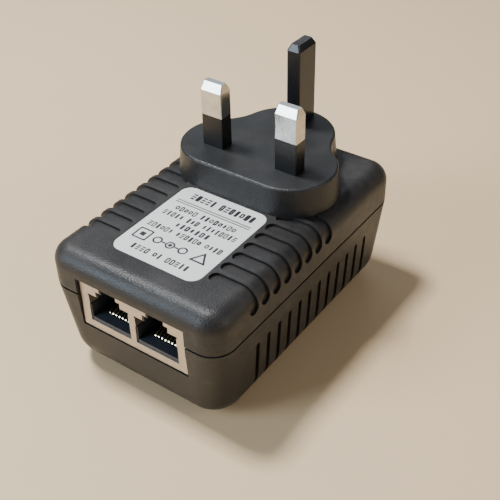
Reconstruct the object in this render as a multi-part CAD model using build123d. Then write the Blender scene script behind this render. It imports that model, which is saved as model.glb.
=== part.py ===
from build123d import *
import math
import os

# A plug-top power injector with two network sockets, lying on its back with the pins up.
# Millimetres. X runs across the case, Y from the sockets to the far end, Z along the pins.
# The origin is at the middle of the flat back.

# ---------------------------------------------------------------- driving sizes

# Case
body_width = 52.0
body_length = 79.0
base_depth = 25.0            # flat back to the parting line
cover_depth = 10.5           # parting line to the top of the upper cover
wall = 2.2
corner_radius = 6.0          # upright corners at the parting line
base_corner_radius = 9.5     # upright corners at the flat back
base_inset = 1.5             # how far the deep cover's walls lean in at the flat back
base_edge_radius = 9.2
cover_edge_radius = 4.6
inner_corner_radius = 3.8
inner_edge_radius = 2.6
lip_height = 1.6             # tongue of the deep cover that locates the upper cover
lip_wall = 0.9
fit_gap = 0.15               # between parts that slide into each other
seam_chamfer = 0.2           # bevel on the upper cover's lower edge
seam_gap = 0.4               # shadow gap under it, round the deep cover
seam_depth = 0.5
post_diameter = 4.4
post_wall_gap = 0.35

# Cooling slots in the deep cover
slot_width = 1.4
slot_pitch = 4.5
slot_top_drop = 5.7          # parting line down to the slots' tops
slot_bottom = 3.4
slot_rear_margin = 14.0

# Flutes over the upper cover's shoulders
flute_width = 3.3
flute_pitch = slot_pitch
flute_depth = 0.75
flute_front_margin = 13.6    # front face to the middle of the first flute
flute_end_height = 4.5       # parting line up to the flutes' round lower ends
flute_label_gap = 0.9

# Rating label
label_width = 25.8
label_front_margin = 9.0
label_corner = 3.0
label_thickness = 0.15
label_recess = 0.25
label_plug_gap = 0.5

# Plug moulding
plug_height = 7.6            # upper cover's top to the plug face
plug_rear_gap = 0.9
plug_flare = 0.7             # how much wider the moulding is at its foot, each side
plug_face_wall = 3.0
plug_wall = 1.6
spigot_inset = 3.0
plug_rim_radius = 0.7
lobe_radius = 11.8
lobe_half_spacing = 10.2
lobe_setback = 2.2           # lobe centres behind the line through the two pins
earth_lobe_radius = 13.2
earth_lobe_setback = 14.7
waist_radius = 12.5

# Pins
pin_spacing = 22.23
earth_pin_setback = 22.23
pin_width = 6.35
pin_thickness = 3.97
pin_length = 17.7
pin_bevel_height = 2.1
pin_tip_thickness = 1.7
pin_tip_width = 5.7
pin_edge_radius = 0.25
sleeve_length = 8.8
sleeve_wall = 0.5
sleeve_root = 1.6            # how deep the sleeve stands in the plug moulding
pin_head_height = 1.2
pin_head_overhang = 0.9
tag_width = 3.0
tag_thickness = 1.0
tag_length = 3.2
earth_pin_width = 3.97
earth_pin_thickness = 7.92
earth_pin_length = 22.73
earth_bevel_height = 1.6
earth_bevel_inset = 0.8
earth_edge_radius = 0.45

# Network jack
jack_width = 32.0
jack_height = 14.0
jack_depth = 16.0
jack_gap = 0.3               # case opening round the jack
plate_recess = 0.9
sheet = 0.3
port_pitch = 14.4
port_width = 12.7            # opening in the metal plate
port_floor_margin = 2.2
port_ledge_drop = 3.5
port_step_width = 7.5
port_step_drop = 1.9
port_latch_width = 5.2
cavity_width = 11.9          # inside the dark moulding
cavity_depth = 12.6
cavity_floor_margin = 3.2
cavity_ledge_drop = 3.9
cavity_step_width = 6.9
cavity_step_drop = 2.4
cavity_latch_width = 4.6
cavity_latch_drop = 0.8
finger_height = 2.6
finger_length = 4.6
finger_angle = 5.0
finger_pocket_depth = 0.75
finger_drop = 0.2            # cavity ledge down to the fingers' upper edge
shield_tab_length = 2.0
shield_tab_root = 1.0
leg_setback = 0.6            # moulding's rear face to the contact legs' line
peg_diameter = 3.0

# Contacts in each socket
contact_count = 8
contact_pitch = 1.016
contact_width = 0.42
contact_thickness = 0.34
contact_setback = 4.0        # plate to the axis of the front bends
contact_bend_radius = 0.5
contact_arm_length = 8.4
contact_arm_angle = 20.0
contact_side_gap = 0.15
contact_below_floor = 0.43   # cavity floor down to the bends' axis
comb_height = 3.7
comb_length = 2.9

# Board and the parts on it
board_thickness = 1.6
board_head_room = 2.3        # ceiling down to the board's soldered side
board_clearance = 0.5
board_corner = 3.4
part_gap = 1.5
board_edge_margin = 5.0
hole_gap = 0.15
lead_overhang = 0.9
lead_diameter = 0.7
solder_height = 0.7
solder_width = 0.55          # how far a joint spreads round its lead
wire_diameter = 1.4
wire_bend_radius = 2.4
wire_zone = 3.2
wire_run = 11.3              # pins' line back to the leads' holes in the board

output_capacitor_diameter = 8.0
output_capacitor_height = 14.0
output_capacitor_pitch = 3.5   # between a part's two leads, as in the other pitches below
can_groove_drop = 2.0
can_groove_height = 0.8
can_groove_depth = 0.35
can_edge_radius = 0.5
inductor_diameter = 8.0
inductor_height = 9.0
inductor_waist = 3.6
inductor_flange = 1.2
inductor_wire_inset = 0.5
diode_diameter = 5.2
diode_length = 8.6
diode_edge_radius = 0.5
core_width = 22.0
core_height = 19.0
core_thickness = 5.6
core_leg = 5.6
core_outer_leg = 2.8
core_yoke = 4.4
bobbin_depth = 15.0
bobbin_wall = 0.8
bobbin_flange = 1.0
bobbin_rail = 2.4
bobbin_pin_count = 4          # in each row
winding_inset = 0.3
winding_corner = 2.0
transformer_gap = 1.5
sink_thickness = 1.5
sink_length = 16.0
sink_height = 20.5
transistor_width = 10.0
transistor_body_height = 9.0
transistor_body_thickness = 3.2
transistor_tab_thickness = 1.3
transistor_tab_height = 15.5
transistor_drop = 4.0
transistor_pitch = 2.54
screw_diameter = 3.0
screw_head_diameter = 5.5
screw_head_height = 2.2
screw_head_radius = 0.8
screw_cross_length = 3.0
screw_cross_width = 0.7
screw_cross_depth = 1.0
y_capacitor_diameter = 8.0
disc_thickness = 3.5
y_capacitor_pitch = 5.0
bulk_diameter = 12.5
bulk_height = 20.0
bulk_sleeve_wall = 0.2
bulk_pitch = 5.0
bulk_sleeve_end = 0.4
bulk_sleeve_drop = 3.0
bridge_width = 8.5
bridge_length = 6.4
bridge_height = 3.4
bridge_pitch = 5.1
opto_width = 6.5
opto_length = 4.6
opto_height = 3.5
opto_pitch = 2.54
chip_chamfer = 0.3
chip_lead_inset = 0.8
fuse_diameter = 3.6
fuse_length = 10.0
fuse_cap_length = 2.6
fuse_cap_wall = 0.2
x_capacitor_width = 15.0
x_capacitor_length = 6.5
x_capacitor_height = 12.0
x_capacitor_lead_inset = 2.5
x_capacitor_edge_radius = 0.4
choke_diameter = 14.0
choke_bore = 7.0
choke_length = 6.0
choke_winding = 0.8
choke_winding_angle = 115.0
choke_gap = 1.0
varistor_diameter = 7.5
varistor_pitch = 3.5
chip_width = 5.0
chip_length = 4.0
chip_height = 1.3
chip_resistor_count = 8
chip_resistor_width = 1.2
chip_resistor_length = 1.9
chip_resistor_height = 0.5
chip_leg_count = 4
chip_leg_width = 0.4
chip_leg_reach = 0.9
chip_leg_thickness = 0.25
chip_lift = 0.1
barrier_thickness = 0.4
barrier_height = 22.0

# ---------------------------------------------------------------- derived places

front = -body_length / 2
rear = body_length / 2
parting = base_depth
cover_top = base_depth + cover_depth
ceiling = cover_top - wall
inner_width = body_width - 2 * wall
inner_length = body_length - 2 * wall
inner_front = front + wall

plug_face = cover_top + plug_height
pin_line = rear - plug_rear_gap - earth_lobe_radius - earth_lobe_setback
earth_line = pin_line + earth_pin_setback
plug_front = pin_line + lobe_setback - lobe_radius
plug_inner_face = plug_face - plug_face_wall

flute_first = front + flute_front_margin
flute_start = label_width / 2 + flute_label_gap
flute_count = int((pin_line - flute_first) / flute_pitch)
slot_first = flute_first + flute_width / 2
slot_count = int((rear - slot_rear_margin - slot_first) / slot_pitch) + 1
slot_top = parting - slot_top_drop

label_front = front + label_front_margin
label_rear = plug_front - plug_flare - label_plug_gap
label_length = label_rear - label_front
label_middle = (label_front + label_rear) / 2

board_top = ceiling - board_head_room
board_under = board_top - board_thickness
board_width = inner_width - 2 * board_clearance
board_length = inner_length - 2 * board_clearance

jack_front = front + plate_recess
jack_rear = jack_front + jack_depth
jack_top = board_under
jack_bottom = jack_top - jack_height
housing_front = jack_front + sheet
housing_rear = jack_rear - sheet - 0.5 * fit_gap
housing_width = jack_width - 2 * sheet - fit_gap
housing_bottom = jack_bottom + sheet + 0.5 * fit_gap
cavity_floor = jack_bottom + cavity_floor_margin
cavity_back = housing_front + cavity_depth
port_middles = {"left": -port_pitch / 2, "right": port_pitch / 2}

bend_outer = contact_bend_radius + contact_thickness / 2
bend_inner = contact_bend_radius - contact_thickness / 2
bend_y = jack_front + contact_setback
bend_z = cavity_floor - contact_below_floor
leg_low = bend_z - bend_outer
leg_line = housing_rear - leg_setback
groove_width = contact_width + 2 * contact_side_gap

lead_low = board_under - 0.4
lead_high = board_top + lead_overhang
hole_list = []               # (x, y, diameter) of every round lead through the board
slot_list = []               # (x, y, width, length) of every flat tab through the board


# ---------------------------------------------------------------- small helpers

def bar(x_low, x_high, y_low, y_high, z_low, z_high):
    """A plain block between six planes."""
    block = Box(x_high - x_low, y_high - y_low, z_high - z_low)
    middle = ((x_low + x_high) / 2, (y_low + y_high) / 2, (z_low + z_high) / 2)
    return Pos(*middle) * block


def block_at(x, y, width, length, z_low, z_high):
    """A plain block standing over one point."""
    return bar(x - width / 2, x + width / 2, y - length / 2, y + length / 2, z_low, z_high)


def post(x, y, z_low, z_high, diameter):
    """An upright round post."""
    return Pos(x, y, (z_low + z_high) / 2) * Cylinder(diameter / 2, z_high - z_low)


def rod_y(x, z, y_low, y_high, diameter):
    """A round rod along Y."""
    rod = Rot(90, 0, 0) * Cylinder(diameter / 2, y_high - y_low)
    return Pos(x, (y_low + y_high) / 2, z) * rod


def rod_x(y, z, x_low, x_high, diameter):
    """A round rod along X."""
    rod = Rot(0, 90, 0) * Cylinder(diameter / 2, x_high - x_low)
    return Pos((x_low + x_high) / 2, y, z) * rod


def round_block(x, y, width, length, z_low, z_high, corner):
    """An upright block with rounded corners."""
    outline = Pos(x, y, z_low) * RectangleRounded(width, length, corner)
    return extrude(outline, amount=z_high - z_low)


def tapered_block(width, length, inset, z_low, z_high, corner, low_corner, low_edge):
    """A block whose walls lean in downwards, with its lower rim rounded."""
    top = Plane.XY.offset(z_high) * RectangleRounded(width, length, corner)
    bottom = Plane.XY.offset(z_low) * RectangleRounded(width - 2 * inset, length - 2 * inset, low_corner)
    block = loft([bottom.face(), top.face()], ruled=True)
    rim = block.faces().sort_by(Axis.Z)[0].edges()
    return fillet(rim, low_edge)


def domed_block(width, length, z_low, z_high, corner, top_edge):
    """A block with upright walls and its upper rim rounded."""
    block = round_block(0, 0, width, length, z_low, z_high, corner)
    rim = block.faces().sort_by(Axis.Z)[-1].edges()
    return fillet(rim, top_edge)


def tapered_tip(x, y, width, length, tip_width, tip_length, z_low, z_high):
    """A block that narrows on all four sides towards its top."""
    foot = Pos(x, y, z_low) * Rectangle(width, length)
    tip = Pos(x, y, z_high) * Rectangle(tip_width, tip_length)
    return loft([foot.face(), tip.face()], ruled=True)


def through_lead(x, y, diameter=lead_diameter, low=lead_low):
    """A round lead through the board, whose hole is noted for the board."""
    hole_list.append((x, y, diameter))
    return post(x, y, low, lead_high, diameter)


def through_tab(x, y, width, length, low):
    """A flat tab through the board, whose slot is noted for the board."""
    slot_list.append((x, y, width, length))
    return block_at(x, y, width, length, low, lead_high)


def row_middles(widths):
    """Middles of a row of parts spread evenly across the board."""
    span = board_width - 2 * board_edge_margin
    space = (span - sum(widths)) / (len(widths) - 1)
    edge = -span / 2
    middles = []
    for width in widths:
        middles.append(edge + width / 2)
        edge += width + space
    return middles


def joined(shapes):
    """All the shapes fused into one."""
    total = shapes[0]
    for shape in shapes[1:]:
        total = total + shape
    return total


# ---------------------------------------------------------------- case

def plug_outline(grow):
    """The plug moulding's three-lobed outline, grown outwards by one offset."""
    side = (lobe_half_spacing, pin_line + lobe_setback)
    back = (0.0, pin_line + earth_lobe_setback)
    side_radius = lobe_radius + grow
    back_radius = earth_lobe_radius + grow
    blend_radius = waist_radius - grow
    side_reach = side_radius + blend_radius
    back_reach = back_radius + blend_radius
    apart = math.dist(side, back)
    along = (side_reach ** 2 - back_reach ** 2 + apart ** 2) / (2 * apart)
    off = math.sqrt(side_reach ** 2 - along ** 2)
    step = ((back[0] - side[0]) / apart, (back[1] - side[1]) / apart)
    blend = (side[0] + step[0] * along + step[1] * off, side[1] + step[1] * along - step[0] * off)

    def toward(centre, target, radius):
        reach = math.dist(centre, target)
        x = centre[0] + (target[0] - centre[0]) * radius / reach
        return (x, centre[1] + (target[1] - centre[1]) * radius / reach)

    def mirrored(point):
        return (-point[0], point[1])

    low = (side[0], side[1] - side_radius)
    bulge = toward(side, (side[0] + 1.0, side[1] - 0.1), side_radius)
    side_end = toward(side, blend, side_radius)
    halfway = ((side[0] + back[0]) / 2, (side[1] + back[1]) / 2)
    waist = toward(blend, halfway, blend_radius)
    back_start = toward(back, blend, back_radius)
    tail = (0.0, back[1] + back_radius)
    with BuildLine() as line:
        Line(mirrored(low), low)
        ThreePointArc(low, bulge, side_end)
        ThreePointArc(side_end, waist, back_start)
        ThreePointArc(back_start, tail, mirrored(back_start))
        ThreePointArc(mirrored(back_start), mirrored(waist), mirrored(side_end))
        ThreePointArc(mirrored(side_end), mirrored(bulge), mirrored(low))
    return make_face(line.line)


def plug_prism(grow, z_low, z_high):
    """The plug outline pulled straight up."""
    return extrude(Pos(0, 0, z_low) * plug_outline(grow), amount=z_high - z_low)


def cover_outer(inset=0.0):
    """The upper cover's outer form, or the same form a little further in."""
    width = body_width - 2 * inset
    length = body_length - 2 * inset
    corner = corner_radius - inset
    return domed_block(width, length, parting, cover_top - inset, corner, cover_edge_radius - inset)


def jack_cutter():
    """The opening that the jack looks out of, which both covers share."""
    half = jack_width / 2 + jack_gap
    low = jack_bottom - jack_gap
    high = jack_top + jack_gap
    return bar(-half, half, front - 1.0, inner_front + 2.0, low, high)


def post_places():
    """Middles of the four posts that hold the board."""
    reach = inner_corner_radius - post_wall_gap - post_diameter / 2
    x = inner_width / 2 - inner_corner_radius + reach * math.sqrt(0.5)
    y = inner_length / 2 - inner_corner_radius + reach * math.sqrt(0.5)
    return [(-x, -y), (x, -y), (-x, y), (x, y)]


def seam_bevel():
    """A thin wedge that bevels the upper cover's outer edge at the parting line."""
    slim_width = body_width - 2 * seam_chamfer
    slim_length = body_length - 2 * seam_chamfer
    slim = Pos(0, 0, parting) * RectangleRounded(slim_width, slim_length, corner_radius - seam_chamfer)
    wide = Pos(0, 0, parting + seam_chamfer) * RectangleRounded(body_width, body_length, corner_radius)
    full = round_block(0, 0, body_width, body_length, parting, parting + seam_chamfer, corner_radius)
    return full - loft([slim.face(), wide.face()], ruled=True)


def seam_step():
    """A band that leaves a shadow gap round the deep cover's upper edge."""
    low = parting - seam_gap
    outer = round_block(0, 0, body_width + 1.0, body_length + 1.0, low, parting, corner_radius)
    inner = round_block(0, 0, body_width - 2 * seam_depth, body_length - 2 * seam_depth,
                        low, parting, corner_radius - seam_depth)
    return outer - inner


def make_lower_cover():
    """The deep cover: a leaning tray with slots, posts and a locating tongue."""
    args = (parting, corner_radius, base_corner_radius, base_edge_radius)
    outer = tapered_block(body_width, body_length, base_inset, 0, *args)
    inner_inset = base_inset * (base_depth - wall) / base_depth
    low_corner = base_corner_radius - wall
    low_edge = base_edge_radius - wall
    inner_args = (parting, inner_corner_radius, low_corner, low_edge)
    inner = tapered_block(inner_width, inner_length, inner_inset, wall, *inner_args)
    tray = outer - inner
    tongue_out = round_block(0, 0, inner_width + 2 * lip_wall, inner_length + 2 * lip_wall,
                             parting, parting + lip_height, inner_corner_radius + lip_wall)
    tongue_in = round_block(0, 0, inner_width, inner_length,
                            parting, parting + lip_height, inner_corner_radius)
    tray = tray + (tongue_out - tongue_in) - seam_step()
    posts = []
    inside = outer + round_block(0, 0, inner_width, inner_length, parting, board_under, inner_corner_radius)
    for x, y in post_places():
        posts.append(post(x, y, 0, board_under, post_diameter) & inside)
    tray = joined([tray] + posts)
    cuts = [jack_cutter()]
    slot_start = body_width / 2 - base_inset - base_edge_radius
    slot_outline = RectangleRounded(slot_width, slot_top - slot_bottom, slot_width / 2 - 0.01)
    for number in range(slot_count):
        place = Pos(slot_first + number * slot_pitch, (slot_top + slot_bottom) / 2)
        for side in (-1, 1):
            outline = Plane.YZ.offset(side * slot_start) * place * slot_outline
            cuts.append(extrude(outline, amount=side * body_width / 2))
    return tray - cuts


def flute_bar(side, y):
    """One flute's footprint: round-ended across the top and down the side."""
    reach = body_width
    flat = round_block(side * (flute_start + reach / 2), y, reach, flute_width,
                       parting, cover_top + 1.0, flute_width / 2 - 0.01)
    low = parting + flute_end_height
    upright = RectangleRounded(flute_width, reach, flute_width / 2 - 0.01)
    standing = extrude(Plane.YZ * Pos(y, low + reach / 2) * upright, amount=side * body_width)
    return flat & standing


def make_upper_cover():
    """The shallow cover: fluted shoulders, label recess and the plug's opening."""
    inner = domed_block(inner_width, inner_length, parting, ceiling, inner_corner_radius, inner_edge_radius)
    cover = cover_outer() - inner
    rebate_depth = lip_wall + fit_gap
    rebate = round_block(0, 0, inner_width + 2 * rebate_depth, inner_length + 2 * rebate_depth,
                         parting, parting + lip_height + fit_gap, inner_corner_radius + rebate_depth)
    cover = cover - rebate - seam_bevel()
    skin = cover_outer() - cover_outer(flute_depth)
    plug_foot = plug_prism(plug_flare, parting, cover_top + 1.0)
    cuts = []
    for number in range(flute_count):
        for side in (-1, 1):
            footprint = flute_bar(side, flute_first + number * flute_pitch)
            cuts.append((skin & footprint) - plug_foot)
    cuts.append(round_block(0, label_middle, label_width + 2 * fit_gap, label_length + 2 * fit_gap,
                            cover_top - label_recess, cover_top + 1.0, label_corner + fit_gap))
    cuts.append(plug_prism(fit_gap - spigot_inset, ceiling - 1.0, cover_top + 1.0))
    cuts.append(jack_cutter())
    cover = cover - cuts
    posts = []
    for x, y in post_places():
        posts.append(post(x, y, board_top, ceiling + 0.5, post_diameter))
    return joined([cover] + posts)


def make_plug_base():
    """The plug moulding: flared foot on the cover, thick face, hollow inside."""
    foot = Pos(0, 0, parting + cover_depth / 2) * plug_outline(plug_flare)
    shoulder = Pos(0, 0, cover_top) * plug_outline(plug_flare)
    top = Pos(0, 0, plug_face) * plug_outline(0)
    skirt = extrude(foot, amount=cover_depth / 2)
    crown = loft([shoulder.face(), top.face()], ruled=True)
    rim = crown.faces().sort_by(Axis.Z)[-1].edges()
    crown = fillet(rim, plug_rim_radius)
    body = skirt + crown - cover_outer()
    body = body + plug_prism(-spigot_inset, ceiling, cover_top + 0.5)
    body = body - plug_prism(-spigot_inset - plug_wall, ceiling - 1.0, plug_inner_face)
    cuts = []
    for side in (-1, 1):
        x = side * pin_spacing / 2
        cuts.append(block_at(x, pin_line, pin_width, pin_thickness, plug_face - sleeve_root, plug_face + 1))
        cuts.append(block_at(x, pin_line, pin_width - 2 * sleeve_wall, pin_thickness - 2 * sleeve_wall,
                             ceiling, plug_face))
    head_width = earth_pin_width + 2 * (pin_head_overhang + fit_gap)
    cuts.append(block_at(0, earth_line, earth_pin_width, earth_pin_thickness,
                         plug_inner_face - 1, plug_face + 1))
    cuts.append(block_at(0, earth_line, head_width, earth_pin_thickness, ceiling - 1, plug_inner_face))
    return body - cuts


# ---------------------------------------------------------------- pins

def make_pin(side):
    """A live or neutral pin: bevelled blade, slim root, head and solder tag."""
    x = side * pin_spacing / 2
    sleeve_top = plug_face + sleeve_length
    tip = plug_face + pin_length
    blade = block_at(x, pin_line, pin_width, pin_thickness, sleeve_top, tip - pin_bevel_height)
    blade = fillet(blade.edges().filter_by(Axis.Z), pin_edge_radius)
    bevel = tapered_tip(x, pin_line, pin_width, pin_thickness, pin_tip_width, pin_tip_thickness,
                        tip - pin_bevel_height, tip)
    slim_edges = [edge for edge in bevel.edges() if abs(edge.tangent_at(0.5).Z) > 0.5]
    bevel = fillet(slim_edges, pin_edge_radius)
    root = block_at(x, pin_line, pin_width - 2 * sleeve_wall, pin_thickness - 2 * sleeve_wall,
                    plug_inner_face - 0.1, sleeve_top + 0.1)
    head = block_at(x, pin_line, pin_width - 2 * sleeve_wall + 2 * pin_head_overhang,
                    pin_thickness - 2 * sleeve_wall + 2 * pin_head_overhang,
                    plug_inner_face - pin_head_height, plug_inner_face)
    tag_top = plug_inner_face - pin_head_height
    tag = block_at(x, pin_line, tag_width, tag_thickness, tag_top - tag_length, tag_top + 0.1)
    return joined([blade, bevel, root, head, tag])


def make_sleeve(side):
    """The insulating sleeve round a pin's root."""
    x = side * pin_spacing / 2
    outer = block_at(x, pin_line, pin_width, pin_thickness,
                     plug_face - sleeve_root, plug_face + sleeve_length)
    outer = fillet(outer.edges().filter_by(Axis.Z), pin_edge_radius)
    inner = block_at(x, pin_line, pin_width - 2 * sleeve_wall, pin_thickness - 2 * sleeve_wall,
                     plug_face - 2 * sleeve_root, plug_face + sleeve_length + 1)
    return outer - inner


def make_earth_pin():
    """The all-plastic earth pin, with a head inside the plug moulding."""
    tip = plug_face + earth_pin_length
    shank = block_at(0, earth_line, earth_pin_width, earth_pin_thickness,
                     plug_inner_face - 0.1, tip - earth_bevel_height)
    shank = fillet(shank.edges().filter_by(Axis.Z), earth_edge_radius)
    bevel = tapered_tip(0, earth_line, earth_pin_width, earth_pin_thickness,
                        earth_pin_width - 2 * earth_bevel_inset, earth_pin_thickness - 2 * earth_bevel_inset,
                        tip - earth_bevel_height, tip)
    slim_edges = [edge for edge in bevel.edges() if abs(edge.tangent_at(0.5).Z) > 0.5]
    bevel = fillet(slim_edges, earth_edge_radius)
    head = block_at(0, earth_line, earth_pin_width + 2 * pin_head_overhang, earth_pin_thickness,
                    plug_inner_face - pin_head_height, plug_inner_face)
    return joined([shank, bevel, head])


def make_lead(side):
    """A stout wire from a pin's tag, back and in, then down through the board."""
    x = side * pin_spacing / 2
    start_z = plug_inner_face - pin_head_height - tag_length / 2
    start = (x, pin_line + tag_thickness / 2, start_z)
    turn = (side * lobe_half_spacing / 2, wire_line, start_z)
    end = (turn[0], turn[1], lead_low)
    path = FilletPolyline(start, turn, end, radius=wire_bend_radius)
    section = Plane(origin=start, z_dir=(turn[0] - x, turn[1] - start[1], 0)) * Circle(wire_diameter / 2)
    hole_list.append((turn[0], turn[1], wire_diameter))
    wire = sweep(section, path=path)
    return wire - block_at(x, pin_line, tag_width, tag_thickness, start_z - 3, start_z + 3)


# ---------------------------------------------------------------- label

def make_label():
    """The rating label, lying in its recess."""
    low = cover_top - label_recess
    return round_block(0, label_middle, label_width, label_length, low, low + label_thickness, label_corner)


# ---------------------------------------------------------------- network jack

def port_cutter(x, widths, floor, ledge, step, latch_top, y_low, y_high):
    """A socket's stepped opening: the wide part, the middle step and the latch way."""
    wide, middle, latch = widths
    parts = [bar(x - wide / 2, x + wide / 2, y_low, y_high, floor, ledge)]
    parts.append(bar(x - middle / 2, x + middle / 2, y_low, y_high, floor, step))
    parts.append(bar(x - latch / 2, x + latch / 2, y_low, y_high, floor, latch_top))
    return joined(parts)


def make_jack_shield():
    """The sheet-metal shield, open towards the board, with fingers in each socket."""
    half = jack_width / 2
    outer = bar(-half, half, jack_front, jack_rear, jack_bottom, jack_top)
    inner = bar(-half + sheet, half - sheet, housing_front, jack_rear - sheet,
                jack_bottom + sheet, jack_top + 1)
    shield = outer - inner
    fingers = []
    finger_high = jack_top - cavity_ledge_drop - finger_drop
    for x in port_middles.values():
        widths = (port_width, port_step_width, port_latch_width)
        shield = shield - port_cutter(x, widths, jack_bottom + port_floor_margin, jack_top - port_ledge_drop,
                                      jack_top - port_step_drop, jack_top + 1,
                                      jack_front - 1, housing_front + 0.001)
        for side in (-1, 1):
            strip = bar(0, sheet, 0, finger_length, finger_high - finger_height, finger_high)
            strip = Pos(-sheet if side > 0 else 0, 0, 0) * strip
            turn = Rot(0, 0, side * finger_angle)
            fingers.append(Pos(x + side * (port_width / 2 + 0.1), jack_front, 0) * turn * strip)
    tabs = []
    for side in (-1, 1):
        x = side * (half - sheet / 2)
        for y in (jack_front + jack_depth / 3, jack_rear - jack_depth / 5):
            tabs.append(through_tab(x, y, sheet, shield_tab_length, jack_top - shield_tab_root))
    return joined([shield] + fingers + tabs)


def contact_middles(x):
    """The middles of one socket's contacts."""
    first = x - contact_pitch * (contact_count - 1) / 2
    return [first + number * contact_pitch for number in range(contact_count)]


def make_jack_housing():
    """The dark moulding: two stepped sockets, contact grooves, combs and pegs."""
    half = housing_width / 2
    housing = bar(-half, half, housing_front, housing_rear, housing_bottom, jack_top)
    cuts = []
    combs = []
    groove_low = leg_low
    finger_high = jack_top - cavity_ledge_drop
    for x in port_middles.values():
        widths = (cavity_width, cavity_step_width, cavity_latch_width)
        cuts.append(port_cutter(x, widths, cavity_floor, jack_top - cavity_ledge_drop,
                                jack_top - cavity_step_drop, jack_top - cavity_latch_drop,
                                housing_front - 1, cavity_back))
        pocket = cavity_width / 2 + finger_pocket_depth
        cuts.append(bar(x - pocket, x + pocket, housing_front - 1, housing_front + finger_length + 0.5,
                        finger_high - finger_height - 0.5, finger_high))
        for middle in contact_middles(x):
            low = middle - groove_width / 2
            high = middle + groove_width / 2
            cuts.append(bar(low, high, bend_y, housing_rear + 1, groove_low, cavity_floor + 0.01))
            cuts.append(bar(low, high, bend_y - bend_outer - 0.3, bend_y + bend_outer,
                            groove_low - contact_side_gap, cavity_floor + 0.01))
            cuts.append(bar(low, high, leg_line - contact_thickness / 2, housing_rear + 1,
                            groove_low, jack_top + 1))
        comb_low = x - contact_pitch * contact_count / 2
        comb_width = contact_pitch - contact_width - 2 * contact_side_gap
        for number in range(contact_count + 1):
            middle = comb_low + number * contact_pitch
            combs.append(bar(middle - comb_width / 2, middle + comb_width / 2, cavity_back - comb_length,
                             cavity_back + 0.1, cavity_floor - 0.1, cavity_floor + comb_height))
    pegs = []
    for side in (-1, 1):
        x = side * port_pitch / 2
        y = housing_front + housing_width / 6
        hole_list.append((x, y, peg_diameter))
        pegs.append(post(x, y, jack_top - 0.3, board_top, peg_diameter))
    return joined([housing - cuts] + combs + pegs)


def make_port_contacts(x):
    """One socket's eight sprung arms, each with the bend that it turns about."""
    start = 90 + contact_arm_angle
    with BuildSketch(Plane.YZ) as side_view:
        with BuildLine():
            outer_arc = CenterArc((0, 0), bend_outer, start, 270 - start)
            inner_arc = CenterArc((0, 0), bend_inner, start, 270 - start)
            Line(outer_arc @ 0, inner_arc @ 0)
            Line(outer_arc @ 1, inner_arc @ 1)
        make_face()
    bend = extrude(side_view.sketch, amount=contact_width / 2, both=True)
    arm = Pos(0, contact_arm_length / 2, contact_bend_radius)
    arm = arm * Box(contact_width, contact_arm_length, contact_thickness)
    tip = Pos(0, contact_arm_length, contact_bend_radius)
    tip = tip * Rot(0, 90, 0) * Cylinder(contact_thickness / 2, contact_width)
    spring = bend + Rot(contact_arm_angle, 0, 0) * (arm + tip)
    return Compound([Pos(middle, bend_y, bend_z) * spring for middle in contact_middles(x)])


def make_contact_legs(x):
    """The fixed ends of one socket's contacts: under the floor, then up to the board."""
    legs = []
    for middle in contact_middles(x):
        rear_face = leg_line + contact_thickness / 2
        flat = bar(middle - contact_width / 2, middle + contact_width / 2,
                   bend_y + contact_side_gap, rear_face, leg_low, leg_low + contact_thickness)
        upright = bar(middle - contact_width / 2, middle + contact_width / 2,
                      leg_line - contact_thickness / 2, rear_face, leg_low, lead_high)
        slot_list.append((middle, leg_line, contact_width, contact_thickness))
        legs.append(flat + upright)
    return Compound(legs)


# ---------------------------------------------------------------- parts on the board

row_one_front = jack_rear + part_gap
row_one_rear = row_one_front + diode_length + 2 * lead_diameter
row_two_front = row_one_rear + part_gap
row_two_rear = row_two_front + max(bobbin_depth, sink_length)
row_three_front = row_two_rear + part_gap
row_three_rear = row_three_front + bulk_diameter
wire_line = pin_line + wire_run
row_four_front = wire_line + wire_zone / 2
row_one = (row_one_front + row_one_rear) / 2
row_two = (row_two_front + row_two_rear) / 2
row_three = (row_three_front + row_three_rear) / 2
row_four = row_four_front + x_capacitor_length / 2

sink_stack = sink_thickness + transistor_tab_thickness + transistor_body_thickness + screw_head_height
row_one_x = row_middles([output_capacitor_diameter, output_capacitor_diameter,
                         inductor_diameter, diode_diameter])
row_two_x = row_middles([core_width, disc_thickness, sink_stack])
row_three_x = row_middles([bulk_diameter, bridge_width, opto_width, fuse_diameter + 2 * fuse_cap_wall])
row_four_x = row_middles([x_capacitor_width, choke_diameter, disc_thickness])


def can(x, y, diameter, height, spacing):
    """A capacitor can hanging under the board, with its pressed groove and two leads."""
    low = board_under - height
    body = post(x, y, low, board_under, diameter)
    groove_low = board_under - can_groove_drop - can_groove_height / 2
    groove_high = groove_low + can_groove_height
    ring = post(x, y, groove_low, groove_high, 2 * diameter)
    ring = ring - post(x, y, groove_low, groove_high, diameter - 2 * can_groove_depth)
    body = fillet(body.faces().sort_by(Axis.Z)[0].edges(), can_edge_radius) - ring
    leads = [through_lead(x - spacing / 2, y), through_lead(x + spacing / 2, y)]
    return joined([body] + leads)


def disc(x, y, diameter, spacing):
    """A dipped disc standing across X, with two leads."""
    z = board_under - part_gap - diameter / 2
    body = rod_x(y, z, x - disc_thickness / 2, x + disc_thickness / 2, diameter)
    body = fillet(body.edges(), disc_thickness / 3)
    leads = []
    for side in (-1, 1):
        leads.append(through_lead(x, y + side * spacing / 2, low=z))
    return joined([body] + leads)


def moulded_chip(x, y, width, length, height, lead_pitch):
    """A moulded part flush under the board, with two leads on each long side."""
    body = block_at(x, y, width, length, board_under - height, board_under)
    body = chamfer(body.faces().sort_by(Axis.Z)[0].edges(), chip_chamfer)
    leads = []
    for across in (-1, 1):
        for along in (-1, 1):
            leads.append(through_lead(x + across * (width / 2 - chip_lead_inset), y + along * lead_pitch / 2))
    return joined([body] + leads)


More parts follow.
